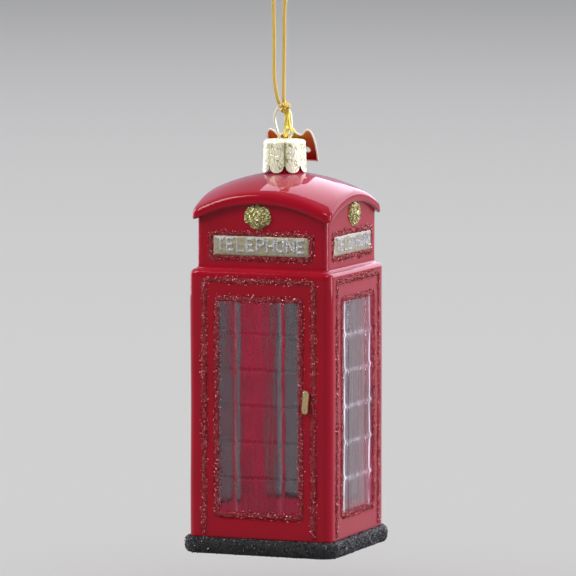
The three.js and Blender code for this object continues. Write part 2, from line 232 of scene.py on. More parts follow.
def glitter_flake(name, dull, mid, glint_colour, metallic):
    """Foil grains: each takes its own tint from a random number, and the highest numbers make pale grains
    that are painted glints, standing in for sparkle; the palest are the least like a mirror.
    """
    material, shader = new_material(name)
    tint_and_glint = attribute(shader, "tint_and_glint")
    # The last stop is a painted glint: pale grains that shine under any light.
    feed(shader, Base_Color=ramp(tint_and_glint, [(0.0, dull), (0.45, mid), (0.78, mid), (0.94, glint_colour)]),
         Metallic=span(tint_and_glint, metallic, 0.05), Roughness=span(tint_and_glint, 0.38, 0.16))
    return material


def sign_paint():
    material, shader = new_material("sign_paint")
    mottling = noise_of(shader, 900.0, 5.0, 0.65)
    colour = ramp(mottling, [
        (0.3, (0.23, 0.20, 0.125)), (0.5, (0.31, 0.275, 0.18)), (0.68, (0.42, 0.38, 0.27))])
    feed(shader, Base_Color=colour, Metallic=0.1, Roughness=span(mottling, 0.5, 0.32))
    bump(shader, mottling, 0.00015, 0.5)
    return material


def pale_gold():
    """Stamped foil, darker along its filigree lines and flute grooves and darkest at the seam."""
    material, shader = new_material("pale_gold")
    hollow = attribute(shader, "relief")
    colour = ramp(hollow, [
        (0.0, (0.13, 0.12, 0.04)), (0.4, (0.50, 0.48, 0.27)), (0.75, (0.84, 0.83, 0.60)),
        (1.0, (0.93, 0.92, 0.72))])
    feed(shader, Base_Color=colour, Metallic=0.4)
    fine = noise_of(shader, 2600.0, 4.0)
    feed(shader, Roughness=span(fine, 0.2, 0.42))
    bump(shader, fine, 0.00006, 0.6)
    return material


def metal(name, colour, roughness, metallic):
    material, shader = new_material(name)
    fine = noise_of(shader, 1800.0, 4.0)
    low = tuple(c * 0.72 for c in colour)
    feed(shader, Base_Color=ramp(fine, [(0.3, low), (0.65, colour)]), Metallic=metallic,
         Roughness=span(fine, roughness * 0.7, roughness * 1.5))
    bump(shader, fine, 0.00004, 0.5)
    return material


def thread(name, dark, mid, light):
    """Metallic yarn: bright foil filaments laid along each ply, with painted shade that darkens each ply
    where it turns in towards the crevices between plies.
    """
    material, shader = new_material(name)
    fibre = noise_of(shader, 5200.0, 3.0)
    # This attribute is low where a ply turns in between the others: it paints shade into the crevices.
    blend = multiply_add(fibre, 0.55, span(attribute(shader, "ply_shade"), -0.05, 0.6))
    feed(shader, Base_Color=ramp(blend, [(0.15, dark), (0.5, mid), (0.85, light)]), Metallic=0.75,
         Roughness=span(fibre, 0.28, 0.5))
    bump(shader, fibre, 0.00008, 0.7)
    return material


def tag_card():
    """Printed foil card that shades from olive gold down to dark red."""
    material, shader = new_material("tag_card")
    fleck = noise_of(shader, 1500.0, 3.0)
    colour = ramp(multiply_add(fleck, 0.12, attribute(shader, "fall")), [
        (0.10, (0.34, 0.27, 0.012)), (0.26, (0.38, 0.24, 0.010)), (0.44, (0.47, 0.13, 0.006)),
        (0.72, (0.40, 0.045, 0.002)), (1.0, (0.27, 0.003, 0.001))])
    feed(shader, Base_Color=colour, Roughness=span(fleck, 0.28, 0.45), Metallic=0.25)
    bump(shader, fleck, 0.00005, 0.4)
    return material


def card_edge():
    material, shader = new_material("card_edge")
    fibres = noise_of(shader, 3000.0, 4.0)
    feed(shader, Base_Color=ramp(fibres, [(0.3, (0.74, 0.68, 0.60)), (0.7, (0.93, 0.90, 0.84))]),
         Roughness=0.7)
    bump(shader, fibres, 0.00004, 0.5)
    return material


LACQUER = lacquer()
INSIDE = lacquer_inside_painted_glow()
GLASS = clear_glass()
RED_BED = glitter_bed("red_glitter_bed", (0.36, 0.001, 0.014), shade=0.6)
# The last colour of each flake material is its painted glint.
RED_FLAKE = glitter_flake(
    "red_glitter_flake", (0.03, 0.0, 0.002), (0.34, 0.002, 0.014), (0.95, 0.40, 0.38), 0.6)
GOLD_BED = glitter_bed("gold_glitter_bed", (0.42, 0.36, 0.12), 0.5)
GOLD_FLAKE = glitter_flake(
    "gold_glitter_flake", (0.16, 0.13, 0.015), (0.70, 0.62, 0.24), (1.0, 1.0, 0.80), 0.6)
BLACK_BED = glitter_bed("black_glitter_bed", (0.009, 0.009, 0.011), 0.55)
BLACK_FLAKE = glitter_flake(
    "black_glitter_flake", (0.004, 0.004, 0.005), (0.016, 0.016, 0.020), (0.075, 0.078, 0.085), 0.5)
WHITE_BED = glitter_bed("white_glitter_bed", (0.86, 0.86, 0.88), 0.5)
WHITE_FLAKE = glitter_flake(
    "white_glitter_flake", (0.62, 0.61, 0.64), (0.88, 0.88, 0.91), (1.0, 1.0, 1.0), 0.15)
SIGN_PAINT = sign_paint()
HANDLE_GOLD = metal("handle_gold", (0.58, 0.45, 0.22), 0.26, metallic=0.8)
CAP_GOLD = pale_gold()
WIRE_GOLD = metal("spring_wire", (0.92, 0.88, 0.68), 0.18, metallic=0.6)
CORD_GOLD = thread("gold_thread", (0.016, 0.007, 0.0005), (0.22, 0.125, 0.012), (0.66, 0.46, 0.10))
TAG_YELLOW = thread("yellow_thread", (0.34, 0.20, 0.002), (0.78, 0.56, 0.02), (1.0, 0.86, 0.22))
TAG_CARD = tag_card()
CARD_EDGE = card_edge()


# ---- mesh helpers
def build(name, verts, faces, materials, body, replaces=(), index=None, smooth=True, values=None):
    """One piece from booth-millimetre points. values holds one number per vertex, by name."""
    mesh = bpy.data.meshes.new(name)
    mesh.from_pydata(place(verts).tolist(), [], [tuple(int(i) for i in f) for f in faces])
    for material in materials:
        mesh.materials.append(material)
    if index is not None:
        mesh.polygons.foreach_set("material_index", np.asarray(index, np.int32))
    mesh.polygons.foreach_set("use_smooth", np.full(len(mesh.polygons), smooth))
    for key, numbers in (values or {}).items():
        layer = mesh.attributes.new(key, "FLOAT", "POINT")
        layer.data.foreach_set("value", np.asarray(numbers, np.float32))
    mesh.update()
    piece = new_object(name, mesh)
    ORNAMENT.objects.link(piece)
    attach(piece, body)
    if replaces:
        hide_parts(*replaces)
    return piece


def joined(parts):
    """Several (points, faces) as one."""
    count, faces = 0, []
    for points, own in parts:
        faces.extend(tuple(i + count for i in face) for face in own)
        count += len(points)
    return np.vstack([points for points, _ in parts]), faces


def grid_faces(rows, columns, closed=False, start=0):
    """Quads of a rows x columns net of points; closed joins the last column to the first."""
    faces = []
    last = columns if closed else columns - 1
    for r in range(rows - 1):
        for c in range(last):
            d = (c + 1) % columns
            faces.append((start + r * columns + c, start + r * columns + d,
                          start + (r + 1) * columns + d, start + (r + 1) * columns + c))
    return faces


def turned(points, degrees):
    a = radians(degrees)
    p = np.asarray(points, float)
    x, y = p[:, 0], p[:, 1]
    return np.column_stack([x * cos(a) - y * sin(a), x * sin(a) + y * cos(a), p[:, 2]])


def walled(piece, thickness, offset, inner=0, rim=0):
    """Gives a surface a wall. inner and rim say which material those take, counted from the outer."""
    wall = piece.modifiers.new("wall", "SOLIDIFY")
    wall.thickness, wall.offset = thickness, offset
    wall.material_offset, wall.material_offset_rim = inner, rim


def smoothed(piece):
    smooth = piece.modifiers.new("smooth", "SUBSURF")
    smooth.levels = smooth.render_levels = 1


def flakes_on(verts, faces, per_mm2, radius, tilt, lift=0.03, keep=None):
    """Hexagonal grains strewn over a surface: their points, faces and a random number each, which gives
    its tint and picks the painted glints.
    """
    tris = np.asarray([(f[0], f[k], f[k + 1]) for f in faces for k in range(1, len(f) - 1)], int)
    verts = np.asarray(verts, float)
    a, b, c = verts[tris[:, 0]], verts[tris[:, 1]], verts[tris[:, 2]]
    cross = np.cross(b - a, c - a)
    area = 0.5 * np.linalg.norm(cross, axis=1)
    count = int(area.sum() * per_mm2)
    chosen = RANDOM.choice(len(tris), count, p=area / area.sum())
    u, v = RANDOM.random(count), RANDOM.random(count)
    flip = u + v > 1
    u[flip], v[flip] = 1 - u[flip], 1 - v[flip]
    centre = a[chosen] + u[:, None] * (b - a)[chosen] + v[:, None] * (c - a)[chosen]
    normal = cross[chosen] / (2 * area[chosen][:, None] + 1e-12)
    if keep is not None:
        held = keep(centre)
        centre, normal = centre[held], normal[held]
        count = len(centre)
    lean = normal + RANDOM.normal(0, tilt, (count, 3))
    lean /= np.linalg.norm(lean, axis=1)[:, None]
    side = np.cross(lean, RANDOM.normal(0, 1, (count, 3)))
    side /= np.linalg.norm(side, axis=1)[:, None] + 1e-9
    other = np.cross(lean, side)
    size = radius * RANDOM.uniform(0.6, 1.25, count)
    centre = centre + normal * (lift + RANDOM.uniform(0, 0.1, count))[:, None]
    points = np.empty((count, 6, 3))
    for k in range(6):
        angle = k * pi / 3
        points[:, k] = centre + size[:, None] * (cos(angle) * side + sin(angle) * other)
    tint_and_glint = np.repeat(RANDOM.random(count), 6)
    hexes = np.arange(count * 6).reshape(count, 6)
    return points.reshape(-1, 3), hexes, tint_and_glint


STRAYS_PER_MM2 = 4.0


def glitter_piece(name, verts, faces, bed, flake, replaces, per_mm2, radius, tilt,
                  keep=None, strays=None):
    """A bed with grains on it. strays is a wider surface, not drawn, that takes a few grains too."""
    points, hexes, tint_and_glint = flakes_on(verts, faces, per_mm2, radius, tilt, keep=keep)
    if strays is not None:
        more, more_hexes, more_tint_and_glint = flakes_on(*strays, STRAYS_PER_MM2, radius, tilt, 0.0)
        hexes = np.vstack([hexes, more_hexes + len(points)])
        points = np.vstack([points, more])
        tint_and_glint = np.concatenate([tint_and_glint, more_tint_and_glint])
    everything, all_faces = joined([(verts, faces), (points, hexes)])
    tint_and_glint = np.concatenate([np.zeros(len(verts)), tint_and_glint])
    build(name, everything, all_faces, [bed, flake], "booth", replaces,
          [0] * len(faces) + [1] * len(hexes), values={"tint_and_glint": tint_and_glint})


# ---- the booth's dimensions
BODY_HALF, BODY_CORNER = 23.6, 3.0
SIGN_HALF, SIGN_CORNER = 21.6, 2.2
ROOF_HALF, ROOF_CORNER, ROOF_RADIUS, ROOF_APEX, LIP = 23.0, 2.6, 50.8, 117.0, 3.3
WINDOW_HALF, WINDOW_LOW, WINDOW_HIGH, ROWS = 13.8, 12.5, 79.2, 6
BARS = (-7.4, 7.4)
NECK_RADIUS, NECK_TOP = 5.4, 124.4
FACES = (("front", 0), ("right", 90), ("back", 180), ("left", 270))

SIDE_COLUMNS = (-1, -0.93, -0.86, -0.79, -0.735, -0.67, -0.55, -0.42, -0.28, -0.14, 0,
                0.14, 0.28, 0.42, 0.55, 0.67, 0.735, 0.79, 0.86, 0.93, 1)
CORNER_STEPS = 7


def square_ring(half, corner):
    """A rounded square, counter-clockwise from above, starting on the front's left end."""
    corner = min(corner, half)
    quarter = [(u * (half - corner), -half) for u in SIDE_COLUMNS]
    for k in range(1, CORNER_STEPS):
        angle = -pi / 2 + (pi / 2) * k / CORNER_STEPS
        quarter.append((half - corner + corner * cos(angle), -half + corner + corner * sin(angle)))
    ring = []
    for turn in range(4):
        a = turn * pi / 2
        ring.extend((x * cos(a) - y * sin(a), x * sin(a) + y * cos(a)) for x, y in quarter)
    return np.asarray(ring)


RING = len(square_ring(10, 2))
QUARTER = RING // 4


def roof_at(x, y, inset=0.0):
    radius = ROOF_RADIUS
    return ROOF_APEX - inset - radius + np.sqrt(np.maximum(radius * radius - x * x - y * y, 1.0))


def ripple(points, amount=0.13, scale=0.045):
    """The slow unevenness of a blown surface."""
    moved = np.array(points)
    for i, (x, y, z) in enumerate(points):
        r = sqrt(x * x + y * y) + 1e-6
        n = wobble(x * scale, y * scale, z * scale * 0.7) * amount
        moved[i, 0] += x / r * n
        moved[i, 1] += y / r * n
    return moved


# ---- lacquered shell
def lacquered_shell():
    """Level rings up the walls, then rings that follow the roof, in to the open neck."""
    rings = []

    def flat(half, corner, z):
        xy = square_ring(half, corner)
        rings.append(np.column_stack([xy, np.full(len(xy), z)]))

    def curved(half, corner, rise):
        xy = square_ring(half, corner)
        rings.append(np.column_stack([xy, rise(xy[:, 0], xy[:, 1])]))

    for z in (4.9, 5.6, 6.6, 8.2, 10.2):
        flat(BODY_HALF, BODY_CORNER, z)
    first_window_row = len(rings)
    for z in np.linspace(WINDOW_LOW, WINDOW_HIGH, 25):
        flat(BODY_HALF, BODY_CORNER, z)
    last_window_row = len(rings) - 1
    for z in (81, 83, 85, 86.2):
        flat(BODY_HALF, BODY_CORNER, z)
    for half, corner, z in ((23.52, 3, 86.8), (23.25, 2.9, 87.35), (22.8, 2.7, 87.8), (22.3, 2.5, 88.0),
                            (21.95, 2.4, 88.1), (21.72, 2.3, 88.35), (21.6, 2.2, 88.9)):
        flat(half, corner, z)
    for z in (90, 91.5, 94, 97, 99):
        flat(SIGN_HALF, SIGN_CORNER, z)
    for share in (0.35, 0.65, 0.85, 0.96):
        curved(SIGN_HALF, SIGN_CORNER, lambda x, y, s=share: 99 + s * (roof_at(x, y, LIP) - 99))
    eave = [(21.66, 2.25, LIP, 0.02), (21.9, 2.3, LIP, 0.05), (22.5, 2.4, LIP, 0.06),
            (22.85, 2.5, LIP, 0.25), (23.0, 2.6, LIP, 0.75), (23.0, 2.6, LIP, 1.5), (22.98, 2.6, 0, -1.15),
            (22.85, 2.6, 0, -0.62), (22.5, 2.6, 0, -0.25), (21.9, 2.7, 0, -0.05)]
    sail = [(half, 2.7 + (21.9 - half) * 0.31 + max(0.0, 12 - half) * 0.6, 0, 0)
            for half in (21, 20, 18.5, 17, 15, 13, 11, 9.5, 8.3, 7.2)]
    neck_root = [(6.4, 6.4, 0, 0.05), (5.75, 5.75, 0, 0.5)]
    for half, corner, below, lift in eave + sail + neck_root:
        curved(half, corner, lambda x, y, b=below, up=lift: roof_at(x, y, b) + up)
    flat(NECK_RADIUS, NECK_RADIUS, 118.3)
    flat(NECK_RADIUS, NECK_RADIUS, NECK_TOP)

    verts = ripple(np.vstack(rings))
    faces = []
    for face in grid_faces(len(rings), RING, closed=True):
        row, column = divmod(face[0], RING)
        if first_window_row <= row < last_window_row:
            u = column % QUARTER
            if u < len(SIDE_COLUMNS) - 1 and -0.67 <= SIDE_COLUMNS[u] and SIDE_COLUMNS[u + 1] <= 0.67:
                continue
        faces.append(face)
    piece = build("lacquered_glass", verts, faces, [LACQUER, INSIDE], "booth",
                  ("lacquer_coat", "glass_shell"))
    walled(piece, 0.00105, -1.0, inner=1, rim=1)
    smoothed(piece)


# ---- window glass
PANE_COLUMNS, PANE_ROWS, PANE_OVERLAP = 96, 132, 0.35
PANE_OUTSIDE, PANE_INSIDE, INSIDE_GAIN = BODY_HALF - 0.4, BODY_HALF - 1.35, -0.35
RIDGE_HEIGHT, EDGE_HEIGHT, EDGE_WIDTH = 0.3, 0.25, 1.4

# Where each pane is painted with a highlight streak from top to bottom, how strong that painted highlight
# is there, and how much painted pale reflection it has everywhere else.
PAINTED_GLINTS = {"front": (BARS, 0.11, 0.0), "back": (BARS, 0.11, 0.0),
         "right": ((-10.6, 11.0), 0.90, 0.13), "left": ((-11.0, 10.6), 0.90, 0.13)}


def window_glass(name, turn):
    """A rippled pane with its glazing bars moulded in both faces."""
    glint_lines, line_glint, pane_reflection = PAINTED_GLINTS[name]
    nx, nz = PANE_COLUMNS, PANE_ROWS
    half, low, high = WINDOW_HALF + PANE_OVERLAP, WINDOW_LOW - PANE_OVERLAP, WINDOW_HIGH + PANE_OVERLAP
    row = (WINDOW_HIGH - WINDOW_LOW) / ROWS
    seed = turn * 0.37 + 3.1

    def relief(x, z):
        swell = 0.0
        for bar in BARS:
            kink = sum(np.exp(-(((z - WINDOW_LOW - k * row) / 0.8) ** 2)) for k in range(1, ROWS))
            wander = 0.22 * wobble(bar, z * 0.12, seed) + 0.3 * kink
            swell = max(swell, 1.6 * max(0.0, 1 - abs(x - bar - wander)) ** 1.1)
        for k in range(1, ROWS):
            level = WINDOW_LOW + k * row + 0.18 * wobble(x * 0.1, k, seed)
            swell = max(swell, 0.6 * np.exp(-(((z - level) / 0.6) ** 2)))
        edge = max(abs(x) - (WINDOW_HALF - EDGE_WIDTH), 0.0) / EDGE_WIDTH
        return RIDGE_HEIGHT * swell + EDGE_HEIGHT * edge * edge

    # Painted highlight on a pane: streaks down it that kink and spread at each horizontal bar, plus the
    # pane's painted pale reflection, standing in for light caught on the moulded ridges.
    def painted_glint_at(x, z):
        rung = max(np.exp(-(((z - WINDOW_LOW - k * row) / 0.7) ** 2)) for k in range(1, ROWS))
        patchy = 0.75 + 0.9 * wobble(x * 0.5, z * 0.16, seed + 4)
        streak = 0.0
        for middle in glint_lines:
            wander = 0.45 * wobble(middle, z * 0.10, seed) + 0.7 * rung
            streak = max(streak, np.exp(-(((x - middle - wander) / 0.45) ** 2)))
        return np.clip(pane_reflection + line_glint * patchy * max(streak, 0.22 * rung), 0.0, 1.0)

    painted_glint = []
    layers = []
    for depth, gain in ((PANE_OUTSIDE, 1.0), (PANE_INSIDE, INSIDE_GAIN)):
        net = []
        for j in range(nz + 1):
            z = low + (high - low) * j / nz
            for i in range(nx + 1):
                x = -half + 2 * half * i / nx
                wave = 0.10 * wobble(x * 0.35, z * 0.05, seed + depth)
                drawn = 0.05 * wobble(x * 1.1, z * 0.09, seed - depth)
                net.append((x, -(depth + gain * relief(x, z) + wave + drawn), z))
                painted_glint.append(painted_glint_at(x, z) if gain > 0 else 0.0)
        layers.append(net)
    columns, rows = nx + 1, nz + 1
    size = columns * rows
    verts = np.asarray(layers[0] + layers[1])
    outer = grid_faces(rows, columns)
    faces = list(outer) + [tuple(size + i for i in reversed(f)) for f in outer]
    border = list(range(columns))
    border += [j * columns + columns - 1 for j in range(1, rows)]
    border += [(rows - 1) * columns + i for i in range(columns - 2, -1, -1)]
    border += [j * columns for j in range(rows - 2, 0, -1)]
    for k, a in enumerate(border):
        b = border[(k + 1) % len(border)]
        faces.append((b, a, a + size, b + size))
    build(f"{name}_window_glass", turned(verts, turn), faces, [GLASS], "booth",
          values={"painted_glint": painted_glint})


# ---- glitter lines
def rounded_path(corners, radius, closed, step=0.8):
    """Points along straight runs with small round corners, in (x, z)."""
    count = len(corners)
    path = []
    for i in range(count):
        here = np.asarray(corners[i], float)
        if not closed and i in (0, count - 1):
            path.append(here)
            continue
        before = np.asarray(corners[i - 1], float)
        after = np.asarray(corners[(i + 1) % count], float)
        into = (here - before) / np.linalg.norm(here - before)
        out = (after - here) / np.linalg.norm(after - here)
        start, end = here - into * radius, here + out * radius
        for t in np.linspace(0, 1, 5):
            path.append((1 - t) ** 2 * start + 2 * t * (1 - t) * here + t * t * end)
    if closed:
        path.append(path[0])
    dense = []
    for a, b in zip(path[:-1], path[1:]):
        pieces = max(1, int(np.linalg.norm(b - a) / step))
        dense.extend(a + (b - a) * k / pieces for k in range(pieces))
    if not closed:
        dense.append(path[-1])
    return np.asarray(dense)


def bead(path, closed, width, height, plane, seed, across=8, ragged=0.16):
    """A raised line of glue over a path in (x, z), standing out from y = -plane."""
    count = len(path)
    if closed:
        tangent = np.roll(path, -1, axis=0) - np.roll(path, 1, axis=0)
    else:
        tangent = np.gradient(path, axis=0)
    tangent /= np.linalg.norm(tangent, axis=1)[:, None]
    side = np.column_stack([tangent[:, 1], -tangent[:, 0]])
    verts = []
    for i in range(count):
        x, z = path[i]
        left = 1 + ragged * 2.2 * wobble(x * 0.8, z * 0.8, seed)
        right = 1 + ragged * 2.2 * wobble(x * 0.8, z * 0.8, seed + 9)
        tall = 1 + 0.5 * wobble(x * 0.6, z * 0.6, seed + 5)
        for k in range(across + 1):
            w = -1 + 2 * k / across
            reach = w * 0.5 * width * (left if w < 0 else right)
            rise = height * tall * sqrt(max(0.0, 1 - w * w))
            rise += 0.10 * wobble(x * 2.5 + w, z * 2.5, seed + 2)
            px, pz = path[i] + side[i] * reach
            verts.append((px, -(plane + rise * (1 if abs(w) < 1 else 0)), pz))
    net = grid_faces(count + closed, across + 1)
    return np.asarray(verts), [tuple(i % len(verts) for i in face) for face in net]


def outward(verts, faces):
    """Faces turned so that they look towards -Y, the viewer's side of the front."""
    a, b, c = (verts[faces[len(faces) // 2][k]] for k in range(3))
    if np.cross(b - a, c - a)[1] > 0:
        return [tuple(reversed(f)) for f in faces]
    return faces


LINE_WIDTH, LINE_HEIGHT, STRAY_WIDTH, LINE_CORNER = 1.45, 0.22, 2.7, 0.9
ON_GLASS = 0.02


def glitter_line(name, corners, closed, half, seed, turn, replaces, corner_radius=LINE_CORNER):
    plane = half + ON_GLASS
    path = rounded_path(corners, corner_radius, closed)
    verts, faces = bead(path, closed, LINE_WIDTH, LINE_HEIGHT, plane, seed, ragged=0.4)
    wide, wide_faces = bead(path, closed, STRAY_WIDTH, 0.0, plane + ON_GLASS, seed + 20, 2, 0.25)
    glitter_piece(name, turned(verts, turn), outward(verts, faces), RED_BED, RED_FLAKE,
                  (replaces,), 9.0, 0.155, 0.6, strays=(turned(wide, turn), outward(wide, wide_faces)))


def trims(name, turn):
    seed = turn * 0.11

    def box(half, low, high):
        return [(-half, low), (half, low), (half, high), (-half, high)]

    glitter_line(f"{name}_window_glitter", box(WINDOW_HALF, WINDOW_LOW, WINDOW_HIGH), True,
                 BODY_HALF, seed + 1, turn, f"{name}_window_trim")
    glitter_line(f"{name}_outline_glitter", [(-18, 6.3), (-18, 85), (18, 85), (18, 6.3)], False,
                 BODY_HALF, seed + 2, turn, f"{name}_outline_trim")
    glitter_line(f"{name}_sign_glitter", box(16.4, 91.8, 99.2), True,
                 SIGN_HALF, seed + 3, turn, f"{name}_sign_trim", 0.8)


# ---- sign panels and letters
LETTERS = {
    "T": [[(0, 1), (1, 1)], [(0.5, 1), (0.5, 0)]],
    "E": [[(1, 1), (0, 1), (0, 0), (1, 0)], [(0, 0.52), (0.8, 0.52)]],
    "L": [[(0, 1), (0, 0), (1, 0)]],
    "P": [[(0, 0), (0, 1), (0.8, 1), (1, 0.86), (1, 0.62), (0.8, 0.48), (0, 0.48)]],
    "H": [[(0, 0), (0, 1)], [(1, 0), (1, 1)], [(0, 0.5), (1, 0.5)]],
    "O": [[(0.3, 0), (0, 0.25), (0, 0.75), (0.3, 1), (0.7, 1), (1, 0.75), (1, 0.25), (0.7, 0), (0.3, 0)]],
    "N": [[(0, 0), (0, 1), (1, 0), (1, 1)]],
}
SIGN_WORD = "TELEPHONE"
LETTER_PITCH, LETTER_WIDE, LETTER_TALL, STROKE = 3.3, 2.25, 3.6, (0.74, 0.3)
PANEL_HALF, PANEL_LOW, PANEL_HIGH, PANEL_CROWN, SIGN_MIDDLE = 15.75, 92.45, 98.55, 0.42, 95.8


def sign(name, turn):
    nx, nz = 60, 14
    half, low, high = PANEL_HALF, PANEL_LOW, PANEL_HIGH
    net = []
    for j in range(nz + 1):
        for i in range(nx + 1):
            u, v = -1 + 2 * i / nx, -1 + 2 * j / nz
            x, z = u * half, (low + high) / 2 + v * (high - low) / 2
            crown = PANEL_CROWN * sqrt(max(0.0, 1 - max(abs(u) ** 24, abs(v) ** 8)))
            rough = 0.05 * wobble(x * 0.9, z * 0.9, turn)
            net.append((x, -(SIGN_HALF + 0.03 + crown + rough * (abs(u) < 1 and abs(v) < 1)), z))
    verts = np.asarray(net)
    faces = outward(verts, grid_faces(nz + 1, nx + 1))
    build(f"{name}_sign", turned(verts, turn), faces, [SIGN_PAINT], "booth",
          (f"{name}_sign_panel",))

    strokes = []
    for n, letter in enumerate(SIGN_WORD):
        left = (n - (len(SIGN_WORD) - 1) / 2) * LETTER_PITCH - LETTER_WIDE / 2
        foot = SIGN_MIDDLE - LETTER_TALL / 2 + 0.12 * sin(n * 2.1 + turn)
        for stroke in LETTERS[letter]:
            corners = [(left + sx * LETTER_WIDE, foot + sz * LETTER_TALL) for sx, sz in stroke]
            path = rounded_path(corners, 0.12, False, 0.3)
            verts, faces = bead(path, False, *STROKE, SIGN_HALF + 0.40, n + turn, 5, 0.15)
            strokes.append((verts, outward(verts, faces)))
    verts, faces = joined(strokes)
    glitter_piece(f"{name}_sign_letters", turned(verts, turn), faces, WHITE_BED, WHITE_FLAKE,
                  (), 14.0, 0.10, 0.4)


# ---- emblems and door handle
EMBLEM_SHIFT = {"front": -1.1, "right": 1.6, "back": 0.0, "left": 0.0}  # each was stuck on by hand
BOSS_WIDE, BOSS_TALL, BOSS_RISE, BOSS_Z = 4.4, 3.6, 1.15, 104.4
KNOB_WIDE, KNOB_TALL, KNOB_RISE, KNOB_Z = 0.9, 0.8, 0.75, 107.6


def emblem(name, turn):
    """A plump lobed boss of gold glitter with a small knob on top."""
    middle = EMBLEM_SHIFT[name]
    wall = SIGN_HALF + ON_GLASS
    rings, segments = 12, 40
    verts = []
    for r in range(rings + 1):
        t = r / rings
        for s in range(segments):
            a = 2 * pi * s / segments
            lobes = 1 + 0.045 * cos(5 * a + pi / 2) + 0.03 * cos(9 * a)
            notch = 1 - 0.10 * np.exp(-(((a - pi / 2) / 0.30) ** 2))
            reach = t * lobes * notch
            rise = BOSS_RISE * sqrt(max(0.0, 1 - t * t))
            x, z = BOSS_WIDE * reach * cos(a) * (1 + 0.12 * sin(a)), BOSS_TALL * reach * sin(a)
            rise += 0.16 * wobble(x, z, turn) * (1 - t)
            verts.append((middle + x, -(wall + rise), BOSS_Z + z))
    faces = grid_faces(rings + 1, segments, closed=True)[segments:]
    centre = [tuple(range(segments, 2 * segments))]
    boss = np.asarray(verts)
    faces = outward(boss, faces)
    knob = []
    for r in range(7):
        t = r / 6
        for s in range(16):
            a = 2 * pi * s / 16
            knob.append((middle + KNOB_WIDE * t * cos(a), -(wall + KNOB_RISE * sqrt(max(0.0, 1 - t * t))),
                         KNOB_Z + KNOB_TALL * t * sin(a)))
    knob = np.asarray(knob)
    everything, faces = joined([(boss, list(faces) + outward(boss, centre)),
                                (knob, outward(knob, grid_faces(7, 16, closed=True)))])
    glitter_piece(f"{name}_emblem_glitter", turned(everything, turn), faces, GOLD_BED, GOLD_FLAKE,
                  (f"{name}_emblem",), 9.0, 0.22, 0.6)


HANDLE = {"x": 15.65, "y": -24.3, "z": 48.3, "half_length": 3.72, "across": 1.22, "deep": 1.18,
          "foot": -23.62}


def door_handle():
    """A slightly bowed bead of gold, waisted in the middle, with a groove along it."""
    rows, columns = 40, 20
    verts = []
    for r in range(rows + 1):
        t = -1 + 2 * r / rows
        z = HANDLE["z"] + HANDLE["half_length"] * t
        bow = HANDLE["x"] + 0.16 * sin(t * pi)
        girth = sqrt(max(0.0, 1 - abs(t) ** 5)) * (0.86 + 0.16 * t * t)
        for c in range(columns):
            a = 2 * pi * c / columns
            groove = 1 - 0.5 * np.exp(-(((a - 1.58 * pi) / 0.30) ** 2)) * (1 - t ** 4)
            verts.append((bow + HANDLE["across"] * girth * groove * cos(a),
                          HANDLE["y"] + HANDLE["deep"] * girth * groove * sin(a), z))
    verts = np.asarray(verts)
    verts[:, 1] = np.minimum(verts[:, 1], HANDLE["foot"])
    faces = grid_faces(rows + 1, columns, closed=True)
    piece = build("door_handle_bead", verts, faces, [HANDLE_GOLD], "booth",
                  ("door_handle",))
    smoothed(piece)


# ---- base band
def base_band():
    """A lumpy rounded band and its flat underside, from (half width, corner, height) sections."""
    sections = [(22.0, 3.4, 5.25), (23.75, 3.6, 5.32), (24.4, 4.2, 5.3), (25.0, 4.6, 5.0), (25.4, 5, 4.4),
                (25.6, 5.2, 3.5), (25.6, 5.2, 2.4), (25.5, 5.2, 1.3), (25.1, 5, 0.6), (24.4, 4.6, 0.18),
                (23.0, 4.2, 0.02), (20, 4, 0.0), (14, 3.5, 0.0), (7, 3, 0.0), (1, 0.9, 0.0)]
    rings = []
    for half, corner, z in sections:
        xy = square_ring(half, corner)
        lumps = []
        for x, y in xy:
            n = wobble(x * 0.30, y * 0.30, z * 0.30)
            fine = wobble(x * 1.3, y * 1.3, z * 1.3)
            r = sqrt(x * x + y * y)
            push = (0.20 * n + 0.10 * fine - 0.18) if 0.1 < z < 5.2 else 0.0
            lumps.append((x * (1 + push / r), y * (1 + push / r),
                          z + (0.10 * fine - 0.1 if z > 4 else 0.0)))
        rings.append(np.asarray(lumps))
    verts = np.vstack(rings)
    faces = [tuple(reversed(f)) for f in grid_faces(len(rings), RING, closed=True)]
    centre = tuple(range((len(rings) - 1) * RING, len(rings) * RING))
    faces.append(tuple(reversed(centre)))
    glitter_piece("base_glitter", verts, faces, BLACK_BED, BLACK_FLAKE, ("base_band",),
                  4.0, 0.21, 0.5, keep=lambda p: (p[:, 2] > 0.25) | (np.abs(p[:, :2]).max(1) > 24.4))


# ---- cap
CAP_X, CAP_TOP, CAP_LOW, CAP_R_TOP, CAP_R_LOW, CAP_EDGE = -0.7, 127.0, 116.9, 6.6, 6.9, 1.1
SEAM, FLUTES, HEM_RISE = 21.5 - 90.0, 8, 2.1


